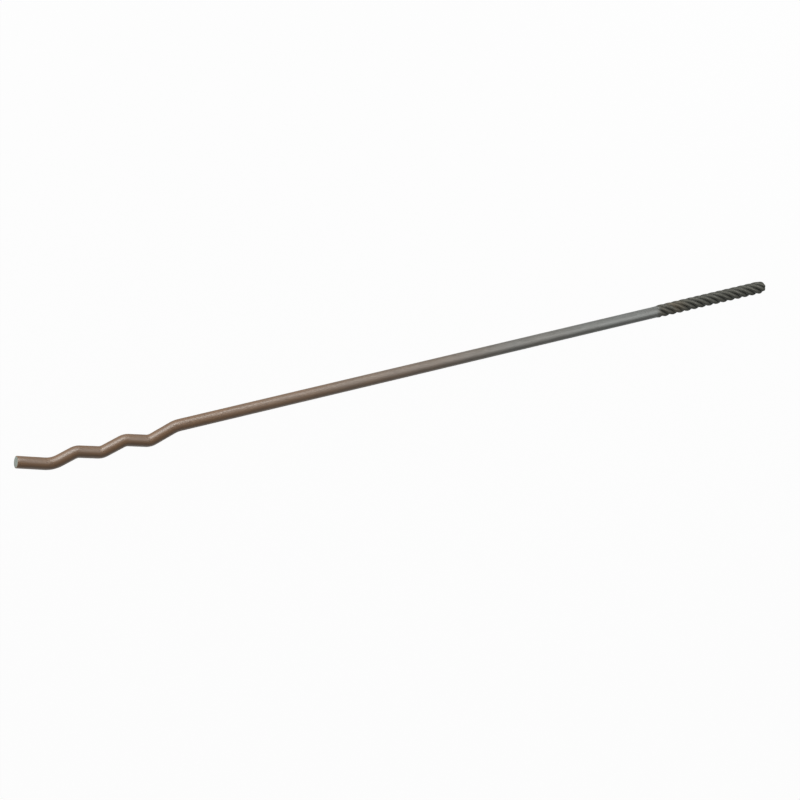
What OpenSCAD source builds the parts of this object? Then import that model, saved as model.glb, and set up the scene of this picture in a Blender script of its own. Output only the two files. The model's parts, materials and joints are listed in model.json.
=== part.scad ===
// Cavity wall tie: one length of drawn stainless wire. The wavy end is bedded in the mortar
// joint of the outer leaf, and the ribbed end is driven into a plug in the inner leaf.
// The tie lies flat, with its wave in the horizontal plane and its ribbed end towards +X.
// All sizes are in millimetres.

/* [Wire] */
// Diameter of the drawn wire
wire_d = 4; // [3:0.5:6]
// Overall length of the tie, from the cut end to the ribbed nose
tie_len = 275; // [200:5:400]
// Chamfer round the cut end
cut_chamfer = 0.2; // [0.1:0.05:0.5]

/* [Wavy end] */
// Number of valleys pressed into the wire
valleys = 3; // [2:1:4]
// Distance from one valley to the next
wave_pitch = 16; // [14:0.5:22]
// How far the corners of the valleys stand off the shank's axis
valley_depth = 3.6; // [2.5:0.1:5]
// How far the crests between the valleys stop short of the shank's axis
crest_gap = 0.8; // [0:0.1:1.5]
// Run of the sloping leg between the shank and the nearest valley
entry_run = 9; // [8:0.5:14]
// Run of the last leg, from the last valley to the cut end
tail_run = 11.25; // [9:0.25:16]
// How far the cut end passes over the shank's axis
tail_rise = 0.7; // [0:0.1:2]
// Radius of the forming pins, which is the inside radius of the bends within the wave
bend_pin_r = 1.5; // [0.5:0.25:3]
// Inside radius of the softer bends at both ends of the wave
end_pin_r = 5; // [1:0.5:7]

/* [Ribbed end] */
// Length of the ribbed end
rib_len = 46; // [30:1:80]
// Number of ribs that wind side by side round the wire
rib_starts = 5; // [3:1:8]
// Length over which one rib winds once round the wire
rib_lead = 15; // [12:0.5:30]
// Height of the ribs above the wire's surface
rib_height = 0.25; // [0.15:0.05:0.6]
// Depth of the grooves below the wire's surface
groove_depth = 0.25; // [0.1:0.05:0.4]
// Length over which the ribs rise out of the wire
rib_run_in = 2.5; // [1.5:0.5:8]
// Length of the rounded nose at the ribbed tip
nose_len = 2.5; // [1.5:0.25:5]
// Diameter left at the blunt tip of the nose
nose_d = 2; // [1.4:0.1:3.4]

/* [Hidden] */
$fn = 64;

// The bends and the collar of the ribs are a hair thicker than the wire, so each leg seats in a flat face
seat = 0.02;
// How far a leg reaches into the bend or the collar that it seats in
lap = 0.2;
// Length of the round collar that the ribs rise from
collar_len = 0.5;

wire_r = wire_d / 2;
seat_r = wire_r + seat;
crest_r = wire_r + rib_height;
root_r = wire_r - groove_depth;

// Places along the tie, from the cut end to the ribbed nose
tail_angle = atan2(valley_depth + tail_rise, tail_run);
cut_x = -tie_len / 2 + (wire_r - cut_chamfer) * sin(tail_angle);
valley_x = cut_x + tail_run;
shank_x = valley_x + (valleys - 1) * wave_pitch + entry_run;
nose_x = tie_len / 2;
rib_x = nose_x - rib_len;

// Corners of the bent wire's centreline, in the plane of the wave and measured from the shank's axis
wave_offsets = [-valley_depth, -crest_gap];
corners = concat(
    [[cut_x, tail_rise]],
    [for (i = [0 : 2 * valleys - 2]) [valley_x + i * wave_pitch / 2, wave_offsets[i % 2]]],
    [[shank_x, 0], [rib_x, 0]]
);
last = len(corners) - 1;

function toward(a) = [cos(a), sin(a)];
function heading(i) = atan2(corners[i + 1].y - corners[i].y, corners[i + 1].x - corners[i].x);
function turn(i) = heading(i) - heading(i - 1);
// Radius of the wire's axis in the bend at corner i
function bend_r(i) = wire_r + (i == 1 || i == last - 1 ? end_pin_r : bend_pin_r);
// Length that a bend takes from the legs on both sides of its corner
function setback(i) = i == 0 || i == last ? 0 : bend_r(i) * tan(abs(turn(i)) / 2);
function leg_len(i) = norm(corners[i + 1] - corners[i]) - setback(i) - setback(i + 1);
function bend_centre(i) =
    let (before = heading(i - 1))
    corners[i] - setback(i) * toward(before) + bend_r(i) * toward(before + 90 * sign(turn(i)));

// The shank's axis, set so that the tie's box is centred on the origin and stands on z = 0
low_side = min([for (i = [1 : 2 : last - 2]) bend_centre(i).y - bend_r(i)]) - seat_r;
high_side = max(crest_r, tail_rise + wire_r * cos(tail_angle) - cut_chamfer * sin(tail_angle));
axis_y = -(low_side + high_side) / 2;
axis_z = max(crest_r, seat_r);

// Points round one rib, and rings of points from one rib to the next, so that all ribs are alike
rib_points = 8;
rib_rings = 4;
ring_points = rib_starts * rib_points;
ring_step = rib_lead / rib_starts / rib_rings;
// Least length of the last step before the nose, as a share of a whole step
least_step = 0.25;
// The flats of the many-sided collar lie at the seat's radius
collar_r = seat_r / cos(180 / ring_points);
rise_x = rib_x + collar_len;
body_len = rib_len - collar_len - nose_len;
body_rings = ceil(body_len / ring_step - least_step);
nose_rings = 8;

ring_places = concat(
    [rib_x],
    [for (i = [0 : body_rings - 1]) rise_x + i * ring_step],
    [for (i = [0 : nose_rings]) nose_x - nose_len * (1 - sin(90 * i / nose_rings))]
);

function smooth(t) = t * t * (3 - 2 * t);
// Share of the full relief of the ribs, which rise from a round collar
function relief(x) = smooth(min(1, max(0, x - rise_x) / rib_run_in));
// A broad rounded rib with a narrow groove on each side, from 0 in the groove to 1 on the rib
function rib_shape(j) = sin(180 * (j % rib_points) / rib_points);
function rib_r(x, j) = collar_r + relief(x) * (root_r + (crest_r - root_r) * rib_shape(j) - collar_r);
// Share of the ribs' section that is left along the rounded nose
function nose_share(x) =
    let (t = max(0, (x - nose_x + nose_len) / nose_len), tip = nose_d / 2 / crest_r)
    tip + (1 - tip) * sqrt(max(0, 1 - t * t));
// A point of the ribs, which wind right-handed
function rib_point(x, j) =
    let (r = rib_r(x, j) * nose_share(x), a = 360 * (j / ring_points + max(0, x - rise_x) / rib_lead))
    [x, r * cos(a), r * sin(a)];

// Stands its child on leg i, a distance along from corner i, with the child's z along the wire
module on_leg(i, along) {
    translate(concat(corners[i], 0))
        rotate([0, 0, heading(i)])
            translate([along, 0, 0])
                rotate([0, 90, 0])
                    children();
}

// The last leg, with its chamfered cut end
module tail() {
    face_r = wire_r - cut_chamfer;
    end = leg_len(0) + lap;
    on_leg(0, 0)
        rotate_extrude()
            polygon([[0, 0], [face_r, 0], [wire_r, cut_chamfer], [wire_r, end], [0, end]]);
}

// A straight leg between two bends, or the shank
module leg(i) {
    on_leg(i, setback(i) - lap)
        cylinder(h = leg_len(i) + 2 * lap, r = wire_r);
}

// The bend at corner i
module bend(i) {
    start = turn(i) > 0 ? heading(i - 1) - 90 : heading(i) + 90;
    translate(concat(bend_centre(i), 0))
        rotate([0, 0, start])
            rotate_extrude(angle = abs(turn(i)))
                translate([bend_r(i), 0])
                    circle(r = seat_r);
}

// The rolled ribs, from their collar on the shank to the blunt nose
module ribs() {
    rings = len(ring_places);
    at = function(i, j) i * ring_points + j % ring_points;
    collar_centre = rings * ring_points;
    nose_centre = collar_centre + 1;
    round = [0 : ring_points - 1];
    points = concat(
        [for (x = ring_places) for (j = round) rib_point(x, j)],
        [[rib_x, 0, 0], [nose_x, 0, 0]]
    );
    faces = concat(
        [for (i = [0 : rings - 2]) for (j = round) [at(i, j), at(i + 1, j), at(i + 1, j + 1)]],
        [for (i = [0 : rings - 2]) for (j = round) [at(i, j), at(i + 1, j + 1), at(i, j + 1)]],
        [for (j = round) [collar_centre, at(0, j), at(0, j + 1)]],
        [for (j = round) [nose_centre, at(rings - 1, j + 1), at(rings - 1, j)]]
    );
    polyhedron(points, faces);
}

// The whole tie, one bent and rolled wire
module tie_wire() {
    color("#7d7466")
        translate([0, axis_y, axis_z])
            union() {
                tail();
                for (i = [1 : last - 1]) {
                    bend(i);
                    leg(i);
                }
                ribs();
            }
}

tie_wire();
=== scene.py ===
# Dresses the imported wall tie: one drawn stainless wire that is bent into a wave at one end and rolled
# into ribs at the other. Also sets up the floor, the light and the camera that it is pictured with.

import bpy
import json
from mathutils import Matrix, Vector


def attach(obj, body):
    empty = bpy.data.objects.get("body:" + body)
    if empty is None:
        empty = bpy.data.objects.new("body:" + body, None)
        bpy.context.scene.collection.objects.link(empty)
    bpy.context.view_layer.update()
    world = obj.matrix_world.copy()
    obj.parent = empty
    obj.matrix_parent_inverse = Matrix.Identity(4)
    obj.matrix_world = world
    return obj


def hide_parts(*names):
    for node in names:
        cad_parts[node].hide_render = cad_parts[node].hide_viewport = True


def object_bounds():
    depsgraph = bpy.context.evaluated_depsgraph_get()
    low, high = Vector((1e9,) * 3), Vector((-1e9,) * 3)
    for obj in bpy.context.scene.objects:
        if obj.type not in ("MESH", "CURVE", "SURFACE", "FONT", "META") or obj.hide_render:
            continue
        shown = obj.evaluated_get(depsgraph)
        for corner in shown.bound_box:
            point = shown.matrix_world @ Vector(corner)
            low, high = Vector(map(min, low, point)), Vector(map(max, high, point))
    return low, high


bl_info = {
    "name": "Wire Wall Tie",
    "version": (1, 0, 0),
    "blender": (4, 5, 0),
    "location": "View3D > Sidebar > Wall Tie",
    "description": "Bends a drawn wire into a wall tie, rolls its ribs and sets up a studio for it",
    "category": "Add Mesh",
}

import json
import math

import bmesh
import bpy
from bpy.props import FloatProperty, FloatVectorProperty, IntProperty, PointerProperty
from mathutils import Quaternion, Vector

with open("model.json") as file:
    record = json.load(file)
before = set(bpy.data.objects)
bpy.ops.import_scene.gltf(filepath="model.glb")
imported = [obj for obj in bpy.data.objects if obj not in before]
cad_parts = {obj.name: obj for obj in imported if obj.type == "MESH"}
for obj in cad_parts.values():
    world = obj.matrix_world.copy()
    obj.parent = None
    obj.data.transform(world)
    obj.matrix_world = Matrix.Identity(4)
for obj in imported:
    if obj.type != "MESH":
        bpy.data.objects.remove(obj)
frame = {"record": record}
CAD_LOW, CAD_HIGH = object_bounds()

MM = 0.001
MOUNTS = {mount["name"]: mount for mount in frame["record"]["mounts"]}
# A point on the shank's axis, and the places where the tie starts and ends
AXIS = Vector(MOUNTS["shank"]["pos_m"])
CUT_END = CAD_LOW.x
NOSE_END = CAD_HIGH.x

# How finely the wire is modelled
RING_POINTS = 120
BEND_STEP = math.radians(2.5)
SHANK_STEP = 5 * MM
RIB_STEP = 0.25 * MM
NOSE_RINGS = 14
CUT_SEGMENTS = 2
MERGE_GAP = 0.001 * MM
SMOOTH_ANGLE = math.radians(40)

# Noise of the finish: its waves to the metre along X, Y and Z, its detail and its roughness
DIE_LINES = ((30, 2600, 2600), 4.0, 0.6)
MOTTLE = ((160, 420, 420), 4.0, 0.55)
BLOTCHES = ((45, 45, 45), 2.0, 0.5)
PITS = ((2200, 2200, 2200), 2.0, 0.5)
SCUFFS = ((900, 900, 900), 3.0, 0.5)
DRAG_LINES = ((400, 400, 4500), 3.0, 0.5)
PATCHES = ((700, 700, 700), 2.0, 0.5)

# Where in its noise each mark begins to show, and where it shows in full
DIE_LINE_SPAN = (0.5, 0.8)
MOTTLE_SPAN = (0.35, 0.75)
PIT_SPAN = (0.62, 0.76)
SCUFF_SPAN = (0.4, 0.65)
STAIN_SPAN = (0.35, 0.6)
DRAG_SPAN = (0.4, 0.75)
PATCH_SPAN = (0.45, 0.7)

# What each mark multiplies the colour by, and how much of that shows at most
DIE_LINE_SHADE = (0.6, 0.57, 0.53, 1.0)
MOTTLE_SHADE = (0.55, 0.50, 0.45, 1.0)
PIT_SHADE = (0.4, 0.36, 0.32, 1.0)
DRAG_SHADE = (0.55, 0.57, 0.54, 1.0)
PATCH_SHADE = (0.6, 0.6, 0.56, 1.0)
DIE_LINE_SHARE = 0.2
MOTTLE_SHARE = 0.35
PIT_SHARE = 0.5
CUT_SHARE = 0.5

# Depth of the marks
DIE_LINE_DEPTH = 0.0012 * MM
PIT_DEPTH = 0.002 * MM
DRAG_DEPTH = 0.02 * MM

# How far the border of the brown tint wanders along the wire
TINT_WANDER = 60 * MM

# Shares of a rib's height over which the painted shade in the grooves fades out, and the crest's wear comes
# in
GROOVE_SHADE_SPAN = (0.0, 0.5)
CREST_SPAN = (0.8, 1.0)

# The stain on the first ribs: its middle from where the ribs rise, its core and edge, and its strength
STAIN_OFFSET = Vector((6 * MM, 2 * MM, 1 * MM))
STAIN_REACH = (1 * MM, 9 * MM)
STAIN_SHARE = 0.6

# Roughness across the die lines and the drag lines, and what the ribs add to it
SATIN_SPAN = (0.3, 0.7)
WIRE_SATIN = (0.46, 0.54)
CUT_SATIN = (0.35, 0.5)
RIB_DULLNESS = 0.12
CUT_METAL = 0.9

# The stage, with the places and sizes of its lights in metres
FLOOR_SIZE = 40.0
PAPER = (0.8, 0.8, 0.8, 1.0)
WHITE = (1.0, 1.0, 1.0, 1.0)
CLIP_START = 0.01
KEY_PLACE = Vector((-0.19, 0.30, 0.037))
KEY_SIZE = (0.75, 0.075)
SIDE_PLACE = Vector((0.17, 0.13, 0.15))
SIDE_SIZE = (0.28, 0.18)
FILL_PLACE = Vector((-0.1, -0.6, 0.1))
FILL_SIZE = (1.2, 0.2)


def length(name, description, default):
    """A size of the tie or of the studio, in metres."""
    return FloatProperty(
        name=name, description=description, default=default, min=0.0, precision=5, unit="LENGTH"
    )


def along_x(name, description, default):
    """A place along the tie, in metres from its middle."""
    return FloatProperty(name=name, description=description, default=default, precision=5, unit="LENGTH")


def brightness(name, description, default):
    """How bright the room or the face of a light is."""
    return FloatProperty(name=name, description=description, default=default, min=0.0)


def share(name, description, default):
    """A share from 0 to 1."""
    return FloatProperty(
        name=name, description=description, default=default, min=0.0, max=1.0, subtype="FACTOR"
    )


def angle(name, description, default):
    """An angle, given in degrees and kept in radians."""
    return FloatProperty(name=name, description=description, default=math.radians(default), subtype="ANGLE")


def colour(name, description, default):
    """A linear colour with its alpha."""
    return FloatVectorProperty(
        name=name, description=description, default=(*default, 1.0),
        size=4, min=0.0, max=1.0, subtype="COLOR",
    )


class WireSizes(bpy.types.PropertyGroup):
    """Sizes of the wire and of its wavy end."""

    wire_d: length("Wire diameter", "Diameter of the drawn wire", 2 * MM * MOUNTS["shank"]["dims"]["r_mm"])
    cut_chamfer: length("Cut chamfer", "Rounding round the cut end", 0.2 * MM)
    valleys: IntProperty(
        name="Valleys", description="Valleys pressed into the wire", default=3, min=2, max=4
    )
    wave_pitch: length("Wave pitch", "Distance from one valley to the next", 16 * MM)
    valley_depth: length("Valley depth", "How far the valleys' corners stand off the shank's axis", 3.6 * MM)
    crest_gap: length("Crest gap", "How far the crests stop short of the shank's axis", 0.8 * MM)
    entry_run: length("Entry run", "Run of the leg between the shank and the nearest valley", 9 * MM)
    tail_run: length("Tail run", "Run of the last leg, up to the cut end", 11.25 * MM)
    tail_rise: length("Tail rise", "How far the cut end passes over the shank's axis", 0.7 * MM)
    bend_pin_r: length("Bend radius", "Inside radius of the bends within the wave", 1.5 * MM)
    end_pin_r: length("End bend radius", "Inside radius of the bends at both ends of the wave", 5 * MM)


class RibSizes(bpy.types.PropertyGroup):
    """Sizes of the ribbed end."""

    rib_len: length(
        "Ribbed length", "Length of the ribbed end", MM * MOUNTS["ribbed_end"]["dims"]["length_mm"]
    )
    starts: IntProperty(name="Ribs", description="Ribs that wind side by side", default=5, min=3, max=8)
    lead: length("Lead", "Length over which one rib winds once round the wire", 15 * MM)
    height: length("Rib height", "Height of the ribs above the wire", 0.25 * MM)
    groove: length("Groove depth", "Depth of the grooves below the wire's surface", 0.25 * MM)
    groove_round: share("Groove rounding", "How round the bottom of a groove is", 0.12)
    collar: length("Collar", "Round length before the ribs start to rise", 0.5 * MM)
    run_in: length("Run-in", "Length over which the ribs rise out of the wire", 2.5 * MM)
    nose_len: length("Nose length", "Length of the rounded nose", 2.5 * MM)
    nose_d: length("Nose diameter", "Diameter left at the blunt tip", 2 * MM)


class WireFinish(bpy.types.PropertyGroup):
    """Colours of the drawn, rolled and cut surfaces, with painted shade in the rib grooves."""

    warm: colour("Warm wire", "Brown tint towards the wavy end", (0.213, 0.094, 0.021))
    grey: colour("Grey wire", "Bare wire towards the ribs", (0.213, 0.215, 0.2))
    warm_until: along_x("Warm until", "Where the tint starts to fade", -0.075)
    grey_from: along_x("Grey from", "Where the tint is gone", 0.085)
    rib: colour("Ribs", "Flanks of the ribs", (0.122, 0.12, 0.098))
    # Painted shade: the bottoms of the grooves are painted far darker than the ribs
    groove: colour("Grooves", "Bottoms of the grooves", (0.03, 0.029, 0.025))
    crest: colour("Crests", "Worn crests of the ribs", (0.17, 0.165, 0.145))
    stain: colour("Stain", "Tan stain on the first ribs", (0.19, 0.15, 0.10))
    cut: colour("Cut face", "Bright sheared end", (0.55, 0.62, 0.56))
    skin_ior: FloatProperty(
        name="Skin IOR", description="Refraction of the drawn wire's skin", default=2.6, min=1.0
    )
    skin_tint: colour("Skin tint", "Faint cool tint of the reflections in the skin", (0.9, 0.98, 1.0))
    film_metal: share("Metal through the tint", "How much bare metal shows through the brown tint", 0.08)
    wire_metal: share("Metal on the wire", "How much bare metal shows on the grey wire", 0.45)
    rib_metal: share("Metal on the ribs", "How much bare metal shows on the ribs", 0.85)


class StudioSettings(bpy.types.PropertyGroup):
    """The camera and the light."""

    azimuth: angle("Azimuth", "Direction of the camera round the tie", 207.27)
    elevation: angle("Elevation", "Height of the camera over the floor", 46.81)
    roll: angle("Roll", "Turn of the camera about its line of sight", 145.77)
    distance: length("Distance", "Distance from the camera to its aim", 608.4 * MM)
    lens: FloatProperty(name="Lens", description="Focal length in millimetres", default=80.0, unit="CAMERA")
    aim: FloatVectorProperty(
        name="Aim", description="Point that the camera looks at", default=(-0.00559, -0.01024, AXIS.z),
        unit="LENGTH",
    )
    key: brightness("Key light", "Brightness of the long low light", 7.5)
    side: brightness("Side light", "Brightness of the panel by the ribs", 1.6)
    fill: brightness("Fill light", "Brightness of the low panel behind", 0.9)
    ambient: brightness("Ambient light", "Brightness of the room", 0.14)
    floor_seen: share("Floor white", "Share of the floor's colour that no shadow darkens", 0.97)
    floor_mirrored: share("Mirrored white", "The same share, as the tie mirrors the floor", 0.3)


def make_active(piece):
    """Leaves one object selected and active."""
    bpy.ops.object.select_all(action="DESELECT")
    piece.select_set(True)
    bpy.context.view_layer.objects.active = piece


def edit(piece):
    """Opens a piece in edit mode and gives its editable mesh."""
    make_active(piece)
    bpy.ops.object.mode_set(mode="EDIT")
    return bmesh.from_edit_mesh(piece.data)


def wave_corners(wire, shank_end):
    """Corners of the wire's centreline, from the cut end to the end of the shank."""
    tail_angle = math.atan2(wire.valley_depth + wire.tail_rise, wire.tail_run)
    cut_x = CUT_END + (wire.wire_d / 2 - wire.cut_chamfer) * math.sin(tail_angle)
    valley_x = cut_x + wire.tail_run
    bends = 2 * wire.valleys - 1
    points = [(cut_x, wire.tail_rise)]
    for i in range(bends):
        offset = -wire.crest_gap if i % 2 else -wire.valley_depth
        points.append((valley_x + i * wire.wave_pitch / 2, offset))
    points.append((valley_x + (bends - 1) * wire.wave_pitch / 2 + wire.entry_run, 0.0))
    points.append((shank_end, 0.0))
    return [Vector((x, AXIS.y + y, AXIS.z)) for x, y in points]


def heading(leg):
    """Direction of a leg in the plane of the wave."""
    return math.atan2(leg.y, leg.x)


def start_wire(wire, centre, direction):
    """A ring of points at the cut end, which remember their place on the wire before it was bent."""
    bpy.ops.object.select_all(action="DESELECT")
    bpy.ops.mesh.primitive_circle_add(
        vertices=RING_POINTS, radius=wire.wire_d / 2, fill_type="NOTHING",
        location=centre, rotation=(0.0, math.pi / 2, direction),
    )
    bpy.ops.object.transform_apply(location=True, rotation=True, scale=True)
    piece = bpy.context.object
    piece.name = "tie_wire_skin"
    mesh = edit(piece)
    unbent = mesh.verts.layers.float_vector.new("unbent")
    across = Vector((-math.sin(direction), math.cos(direction), 0.0))
    for vertex in mesh.verts:
        offset = vertex.co - centre
        vertex[unbent] = (0.0, offset.dot(across), offset.z)
    bmesh.update_edit_mesh(piece.data)
    bpy.ops.mesh.select_all(action="SELECT")
    return piece


def mark_run(piece, run):
    """Moves the remembered place of the newest ring along the wire."""
    mesh = bmesh.from_edit_mesh(piece.data)
    unbent = mesh.verts.layers.float_vector["unbent"]
    for vertex in mesh.verts:
        if vertex.select:
            vertex[unbent].x += run


def draw_leg(piece, leg, steps=1):
    """Extrudes the open end of the wire along a straight leg."""
    for _ in range(steps):
        bpy.ops.mesh.extrude_edges_move(TRANSFORM_OT_translate={"value": leg / steps})
        mark_run(piece, leg.length / steps)


def bend(piece, centre, turn, bend_r):
    """Carries the open end of the wire round a bend. Spin turns clockwise about its axis."""
    steps = math.ceil(abs(turn) / BEND_STEP)
    for _ in range(steps):
        bpy.ops.mesh.spin(steps=1, angle=-turn / steps, center=centre, axis=(0.0, 0.0, 1.0))
        mark_run(piece, bend_r * abs(turn) / steps)


def draw_wave_and_shank(wire, shank_end):
    """The round wire, from the cut end through the bends to the end of the shank."""
    corners = wave_corners(wire, shank_end)
    legs = [far - near for near, far in zip(corners, corners[1:])]
    last = len(legs) - 1
    piece = start_wire(wire, corners[0], heading(legs[0]))
    used = 0.0
    for i, leg in enumerate(legs):
        forward = leg.normalized()
        turn = heading(legs[i + 1]) - heading(leg) if i < last else 0.0
        bend_r = wire.wire_d / 2 + (wire.end_pin_r if i in (0, last - 1) else wire.bend_pin_r)
        setback = bend_r * math.tan(abs(turn) / 2)
        straight = leg.length - used - setback
        draw_leg(piece, forward * straight, math.ceil(straight / SHANK_STEP))
        if i < last:
            side = Vector((-forward.y, forward.x, 0.0)) * math.copysign(bend_r, turn)
            bend(piece, corners[i + 1] - forward * setback + side, turn, bend_r)
        used = setback
    return piece


def rib_places(ribs, rise_x):
    """Places of the rings along the ribs, closer together on the rounded nose."""
    nose_x = NOSE_END - ribs.nose_len
    count = math.ceil((nose_x - rise_x) / RIB_STEP)
    body = [rise_x + (nose_x - rise_x) * i / count for i in range(count + 1)]
    quarter = math.pi / 2
    nose = [nose_x + ribs.nose_len * math.sin(quarter * i / NOSE_RINGS) for i in range(1, NOSE_RINGS + 1)]
    return body + nose


def wind_ribs(piece, ribs, rise_x):
    """Extrudes the shank on, ring by ring. Rotate turns the other way, so its value is negative."""
    places = rib_places(ribs, rise_x)
    for near, far in zip(places, places[1:]):
        run = far - near
        draw_leg(piece, Vector((run, 0.0, 0.0)))
        bpy.ops.transform.rotate(
            value=-2 * math.pi * run / ribs.lead, orient_axis="X", orient_type="GLOBAL",
            center_override=(far, AXIS.y, AXIS.z),
        )


def smooth(t):
    """Eases from 0 to 1."""
    t = min(1.0, max(0.0, t))
    return t * t * (3 - 2 * t)


def rib_shape(ribs, turn):
    """Height of a rib from 0 in its groove to 1 on its crest, at a share of a turn round the wire."""
    wave = math.sin(math.pi * (turn * ribs.starts % 1.0))
    soft = ribs.groove_round
    return (math.hypot(wave, soft) - soft) / (math.hypot(1.0, soft) - soft)


def nose_share(wire, ribs, x):
    """Share of the ribs' section that is left along the rounded nose."""
    t = max(0.0, (x - NOSE_END + ribs.nose_len) / ribs.nose_len)
    tip = ribs.nose_d / (wire.wire_d + 2 * ribs.height)
    return tip + (1 - tip) * math.sqrt(max(0.0, 1 - t * t))


def keep_values(piece, name, values):
    """Stores one number for each point of a piece."""
    attribute = piece.data.attributes.new(name, "FLOAT", "POINT")
    attribute.data.foreach_set("value", values)


def weigh_ribs(piece, wire, ribs, rise_x):
    """Says how far each point of the ribs swells out or is pressed in, and how much of a rib it lies on."""
    wire_r = wire.wire_d / 2
    starts = [value.vector.copy() for value in piece.data.attributes["unbent"].data]
    reliefs = []
    shapes = []
    rises = []
    for vertex, start in zip(piece.data.vertices, starts):
        x = vertex.co.x
        relief = smooth((x - rise_x) / ribs.run_in)
        shape = rib_shape(ribs, math.atan2(start.z, start.y) / (2 * math.pi))
        rise = relief * ((ribs.height + ribs.groove) * shape - ribs.groove)
        rises.append((wire_r + rise) * nose_share(wire, ribs, x) - wire_r)
        reliefs.append(relief)
        shapes.append(shape)
    keep_values(piece, "ribbed", reliefs)
    keep_values(piece, "rib_height", shapes)
    swell = piece.vertex_groups.new(name="swell")
    press = piece.vertex_groups.new(name="press")
    for i, rise in enumerate(rises):
        swell.add([i], max(0.0, rise) / ribs.height, "REPLACE")
        press.add([i], max(0.0, -rise) / wire_r, "REPLACE")


def displace(piece, group, depth):
    """Moves the surface out by a depth, as far as a vertex group says."""
    make_active(piece)
    bpy.ops.object.modifier_add(type="DISPLACE")
    modifier = piece.modifiers[-1]
    modifier.vertex_group = group
    modifier.mid_level = 0.0
    modifier.strength = depth
    bpy.ops.object.modifier_apply(modifier=modifier.name)


def close_end(piece, x_test):
    """Fills the open ring whose points pass a test, and leaves the new face selected."""
    mesh = edit(piece)
    bpy.ops.mesh.select_mode(type="EDGE")
    bpy.ops.mesh.select_all(action="DESELECT")
    for edge in mesh.edges:
        middle = (edge.verts[0].co.x + edge.verts[1].co.x) / 2
        edge.select_set(edge.is_boundary and x_test(middle))
    bpy.ops.mesh.edge_face_add()


def close_wire(piece, wire):
    """Closes the nose and the cut end, and rounds the edge of the cut."""
    close_end(piece, lambda x: x > 0.0)
    bpy.ops.object.mode_set(mode="OBJECT")
    close_end(piece, lambda x: x < 0.0)
    bpy.ops.mesh.bevel(offset=wire.cut_chamfer, segments=CUT_SEGMENTS, affect="EDGES")
    bpy.ops.mesh.select_all(action="SELECT")
    bpy.ops.mesh.remove_doubles(threshold=MERGE_GAP)
    bpy.ops.mesh.normals_make_consistent(inside=False)
    bpy.ops.object.mode_set(mode="OBJECT")
    bpy.ops.object.shade_smooth_by_angle(angle=SMOOTH_ANGLE)


class Graph:
    """Adds nodes to a tree, with each input given as a number, a colour or another node's output."""

    def __init__(self, tree):
        self.tree = tree

    def feed(self, socket, value):
        if isinstance(value, bpy.types.NodeSocket):
            self.tree.links.new(value, socket)
        else:
            socket.default_value = value

    def add(self, kind, inputs, **settings):
        node = self.tree.nodes.new(kind)
        for name, value in settings.items():
            setattr(node, name, value)
        for name, value in inputs.items():
            self.feed(node.inputs[name], value)
        return node

    def attribute(self, name, output):
        return self.add("ShaderNodeAttribute", {}, attribute_name=name).outputs[output]

    def place(self):
        return self.add("ShaderNodeTexCoord", {}).outputs["Object"]

    def noise(self, place, scale, detail, roughness):
        spread = self.add("ShaderNodeMapping", {"Vector": place, "Scale": scale}).outputs["Vector"]
        inputs = {"Vector": spread, "Scale": 1.0, "Detail": detail, "Roughness": roughness}
        return self.add("ShaderNodeTexNoise", inputs).outputs["Fac"]

    def span(self, value, between, to=(0.0, 1.0)):
        inputs = {
            "Value": value, "From Min": between[0], "From Max": between[1], "To Min": to[0], "To Max": to[1]
        }
        return self.add("ShaderNodeMapRange", inputs, interpolation_type="SMOOTHSTEP").outputs["Result"]

    def math(self, operation, *values):
        return self.add("ShaderNodeMath", dict(enumerate(values)), operation=operation).outputs["Value"]

    def blend(self, amount, first, second, how="MIX"):
        # The colour sockets of this node come after those for numbers and vectors
        inputs = {0: amount, 6: first, 7: second}
        return self.add("ShaderNodeMix", inputs, data_type="RGBA", blend_type=how).outputs[2]

    def darken(self, base, amount, shade):
        return self.blend(amount, base, shade, "MULTIPLY")

    def bump(self, height, distance, normal=None):
        inputs = {"Height": height, "Distance": distance}
        if normal:
            inputs["Normal"] = normal
        return self.add("ShaderNodeBump", inputs).outputs["Normal"]


def new_material(name):
    """A material with its Principled shader, and a graph to add nodes to."""
    material = bpy.data.materials.new(name)
    material.use_nodes = True
    return material, Graph(material.node_tree), material.node_tree.nodes["Principled BSDF"].inputs


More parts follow.
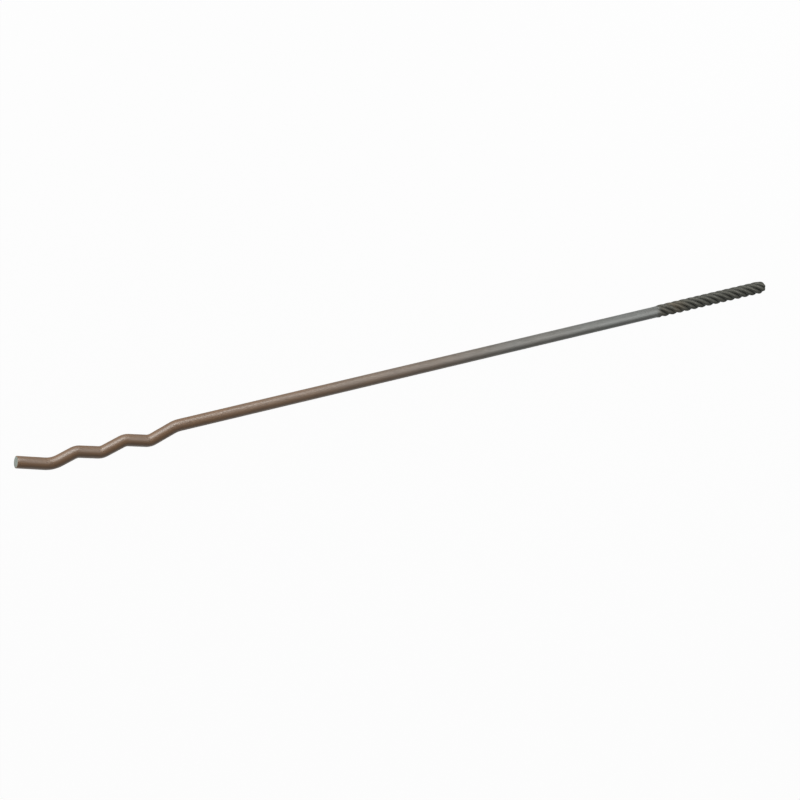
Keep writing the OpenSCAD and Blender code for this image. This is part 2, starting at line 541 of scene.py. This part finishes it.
def drawn_wire(finish, rise_x):
    """Drawn stainless wire with die lines, a brown tint towards the wave, and dull rolled ribs with painted
    shade in their grooves.
    """
    material, graph, shader = new_material("drawn_wire")
    place = graph.place()
    unbent = graph.attribute("unbent", "Vector")
    die_lines = graph.noise(unbent, *DIE_LINES)
    mottle = graph.noise(unbent, *MOTTLE)
    blotches = graph.noise(place, *BLOTCHES)
    pits = graph.span(graph.noise(unbent, *PITS), PIT_SPAN)

    along = graph.add("ShaderNodeSeparateXYZ", {"Vector": place}).outputs["X"]
    drift = graph.math("MULTIPLY_ADD", blotches, TINT_WANDER, along)
    fade = graph.span(drift, (finish.warm_until + TINT_WANDER / 2, finish.grey_from + TINT_WANDER / 2))
    base = graph.blend(fade, finish.warm, finish.grey)
    base = graph.darken(base, graph.span(mottle, MOTTLE_SPAN, (0.0, MOTTLE_SHARE)), MOTTLE_SHADE)
    base = graph.darken(base, graph.span(die_lines, DIE_LINE_SPAN, (0.0, DIE_LINE_SHARE)), DIE_LINE_SHADE)
    base = graph.darken(base, graph.math("MULTIPLY", pits, PIT_SHARE), PIT_SHADE)

    ribbed = graph.attribute("ribbed", "Fac")
    height = graph.attribute("rib_height", "Fac")
    scuffs = graph.noise(place, *SCUFFS)
    # Painted shade: the ribs' colour darkens towards the bottoms of their grooves
    rolled = graph.blend(graph.span(height, GROOVE_SHADE_SPAN), finish.groove, finish.rib)
    worn = graph.math("MULTIPLY", graph.span(height, CREST_SPAN), graph.span(scuffs, SCUFF_SPAN))
    rolled = graph.blend(worn, rolled, finish.crest)
    stain_at = Vector((rise_x, AXIS.y, AXIS.z)) + STAIN_OFFSET
    reach = graph.add("ShaderNodeVectorMath", {0: place, 1: stain_at}, operation="DISTANCE").outputs["Value"]
    near = graph.span(reach, STAIN_REACH, (STAIN_SHARE, 0.0))
    stain = graph.math("MULTIPLY", near, graph.span(mottle, STAIN_SPAN))
    rolled = graph.blend(stain, rolled, finish.stain)
    graph.feed(shader["Base Color"], graph.blend(ribbed, base, rolled))

    satin = graph.span(die_lines, SATIN_SPAN, WIRE_SATIN)
    dull = graph.math("MULTIPLY", ribbed, RIB_DULLNESS)
    graph.feed(shader["Roughness"], graph.math("ADD", satin, dull))
    normal = graph.bump(die_lines, DIE_LINE_DEPTH)
    normal = graph.bump(pits, -PIT_DEPTH, normal)
    graph.feed(shader["Normal"], normal)
    drawn_metal = graph.span(fade, (0.0, 1.0), (finish.film_metal, finish.wire_metal))
    graph.feed(shader["Metallic"], graph.span(ribbed, (0.0, 1.0), (drawn_metal, finish.rib_metal)))
    shader["IOR"].default_value = finish.skin_ior
    shader["Specular Tint"].default_value = finish.skin_tint
    return material


def sheared_end(finish):
    """The bright face that the shears left, with fine drag lines."""
    material, graph, shader = new_material("sheared_end")
    place = graph.place()
    drag = graph.noise(place, *DRAG_LINES)
    patches = graph.noise(place, *PATCHES)
    base = graph.darken(finish.cut, graph.span(drag, DRAG_SPAN, (0.0, CUT_SHARE)), DRAG_SHADE)
    base = graph.darken(base, graph.span(patches, PATCH_SPAN, (0.0, CUT_SHARE)), PATCH_SHADE)
    graph.feed(shader["Base Color"], base)
    graph.feed(shader["Roughness"], graph.span(drag, SATIN_SPAN, CUT_SATIN))
    graph.feed(shader["Normal"], graph.bump(drag, DRAG_DEPTH))
    shader["Metallic"].default_value = CUT_METAL
    return material


def paint_wire(piece, wire, finish, rise_x):
    """Gives the piece its two materials, with the second one on the cut face."""
    piece.data.materials.append(drawn_wire(finish, rise_x))
    piece.data.materials.append(sheared_end(finish))
    at_cut = [face for face in piece.data.polygons if face.center.x < CUT_END + wire.wire_d]
    cut_face = max(at_cut, key=lambda face: face.area)
    cut_face.material_index = 1


class WALLTIE_OT_wire(bpy.types.Operator):
    """Bend the wire into its wave, roll its ribs and give it its finish"""

    bl_idname = "walltie.wire"
    bl_label = "Bend and Roll the Wire"
    bl_options = {"REGISTER", "UNDO"}

    def execute(self, context):
        wire = context.scene.walltie_wire
        ribs = context.scene.walltie_ribs
        rise_x = NOSE_END - ribs.rib_len + ribs.collar
        piece = draw_wave_and_shank(wire, rise_x)
        wind_ribs(piece, ribs, rise_x)
        bpy.ops.object.mode_set(mode="OBJECT")
        weigh_ribs(piece, wire, ribs, rise_x)
        bpy.ops.object.mode_set(mode="EDIT")
        bpy.ops.mesh.select_all(action="SELECT")
        bpy.ops.mesh.normals_make_consistent(inside=False)
        bpy.ops.object.mode_set(mode="OBJECT")
        displace(piece, "swell", ribs.height)
        displace(piece, "press", -wire.wire_d / 2)
        close_wire(piece, wire)
        paint_wire(piece, wire, context.scene.walltie_finish, rise_x)
        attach(piece, "root")
        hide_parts("tie_wire")
        return {"FINISHED"}


def lay_floor(studio):
    """A paper floor that shows white to the camera and greyer in reflections, and keeps a soft shadow."""
    bpy.ops.mesh.primitive_plane_add(size=FLOOR_SIZE)
    floor = bpy.context.object
    floor.name = "floor"
    material = bpy.data.materials.new("floor_white")
    material.use_nodes = True
    graph = Graph(material.node_tree)
    material.node_tree.nodes.clear()
    light_path = graph.add("ShaderNodeLightPath", {}).outputs
    seen = graph.math("MAXIMUM", light_path["Is Camera Ray"], light_path["Is Transmission Ray"])
    seen = graph.math("MULTIPLY", seen, studio.floor_seen)
    mirrored = graph.math("MULTIPLY", light_path["Is Glossy Ray"], studio.floor_mirrored)
    unshaded = graph.math("MAXIMUM", seen, mirrored)
    paper = graph.add("ShaderNodeBsdfDiffuse", {"Color": PAPER}).outputs["BSDF"]
    white = graph.add("ShaderNodeEmission", {"Strength": 1.0}).outputs["Emission"]
    mixed = graph.add("ShaderNodeMixShader", {0: unshaded, 1: paper, 2: white}).outputs["Shader"]
    graph.add("ShaderNodeOutputMaterial", {"Surface": mixed})
    floor.data.materials.append(material)


def hang_light(name, place, size, level):
    """A soft rectangular light that faces the tie. Its face is as bright whatever its size."""
    width, height = size
    bpy.ops.object.light_add(type="AREA", location=place)
    lamp = bpy.context.object
    lamp.name = name
    lamp.rotation_mode = "QUATERNION"
    lamp.rotation_quaternion = (place - AXIS).to_track_quat("Z", "Y")
    lamp.data.shape = "RECTANGLE"
    lamp.data.size = width
    lamp.data.size_y = height
    lamp.data.energy = level * math.pi * width * height
    lamp.visible_camera = False


def light_room(studio):
    """An even room, a long softbox low beside the wave, a panel beside the ribs and a low one behind."""
    world = bpy.data.worlds.new("room")
    world.use_nodes = True
    background = world.node_tree.nodes["Background"].inputs
    background["Color"].default_value = WHITE
    background["Strength"].default_value = studio.ambient
    bpy.context.scene.world = world
    hang_light("key", KEY_PLACE, KEY_SIZE, studio.key)
    hang_light("side", SIDE_PLACE, SIDE_SIZE, studio.side)
    hang_light("fill", FILL_PLACE, FILL_SIZE, studio.fill)


def place_camera(studio):
    """The camera, turned about its line of sight as the tie is pictured."""
    cos_up = math.cos(studio.elevation)
    back = Vector((
        math.sin(studio.azimuth) * cos_up,
        -math.cos(studio.azimuth) * cos_up,
        math.sin(studio.elevation),
    ))
    bpy.ops.object.camera_add(location=Vector(studio.aim) + back * studio.distance)
    camera = bpy.context.object
    camera.name = "camera"
    camera.rotation_mode = "QUATERNION"
    camera.rotation_quaternion = back.to_track_quat("Z", "Y") @ Quaternion((0.0, 0.0, 1.0), studio.roll)
    camera.data.lens = studio.lens
    camera.data.clip_start = CLIP_START
    bpy.context.scene.camera = camera


class WALLTIE_OT_stage(bpy.types.Operator):
    """Lay the floor, hang the lights and place the camera"""

    bl_idname = "walltie.stage"
    bl_label = "Set the Stage"
    bl_options = {"REGISTER", "UNDO"}

    def execute(self, context):
        studio = context.scene.walltie_studio
        context.scene.view_settings.view_transform = "Standard"
        lay_floor(studio)
        light_room(studio)
        place_camera(studio)
        return {"FINISHED"}


class WALLTIE_PT_panel(bpy.types.Panel):
    """Sizes, finish and studio of the wall tie"""

    bl_idname = "WALLTIE_PT_panel"
    bl_label = "Wall Tie"
    bl_space_type = "VIEW_3D"
    bl_region_type = "UI"
    bl_category = "Wall Tie"

    def draw(self, context):
        for group in ("walltie_wire", "walltie_ribs", "walltie_finish", "walltie_studio"):
            settings = getattr(context.scene, group)
            box = self.layout.box()
            for name in settings.__annotations__:
                box.prop(settings, name)
        self.layout.operator(WALLTIE_OT_wire.bl_idname)
        self.layout.operator(WALLTIE_OT_stage.bl_idname)


CLASSES = (
    WireSizes, RibSizes, WireFinish, StudioSettings, WALLTIE_OT_wire, WALLTIE_OT_stage, WALLTIE_PT_panel,
)


def register():
    for cls in CLASSES:
        bpy.utils.register_class(cls)
    bpy.types.Scene.walltie_wire = PointerProperty(type=WireSizes)
    bpy.types.Scene.walltie_ribs = PointerProperty(type=RibSizes)
    bpy.types.Scene.walltie_finish = PointerProperty(type=WireFinish)
    bpy.types.Scene.walltie_studio = PointerProperty(type=StudioSettings)


def unregister():
    del bpy.types.Scene.walltie_studio
    del bpy.types.Scene.walltie_finish
    del bpy.types.Scene.walltie_ribs
    del bpy.types.Scene.walltie_wire
    for cls in reversed(CLASSES):
        bpy.utils.unregister_class(cls)


def main():
    register()
    bpy.ops.walltie.wire()
    bpy.ops.walltie.stage()


if __name__ == "__main__":
    main()
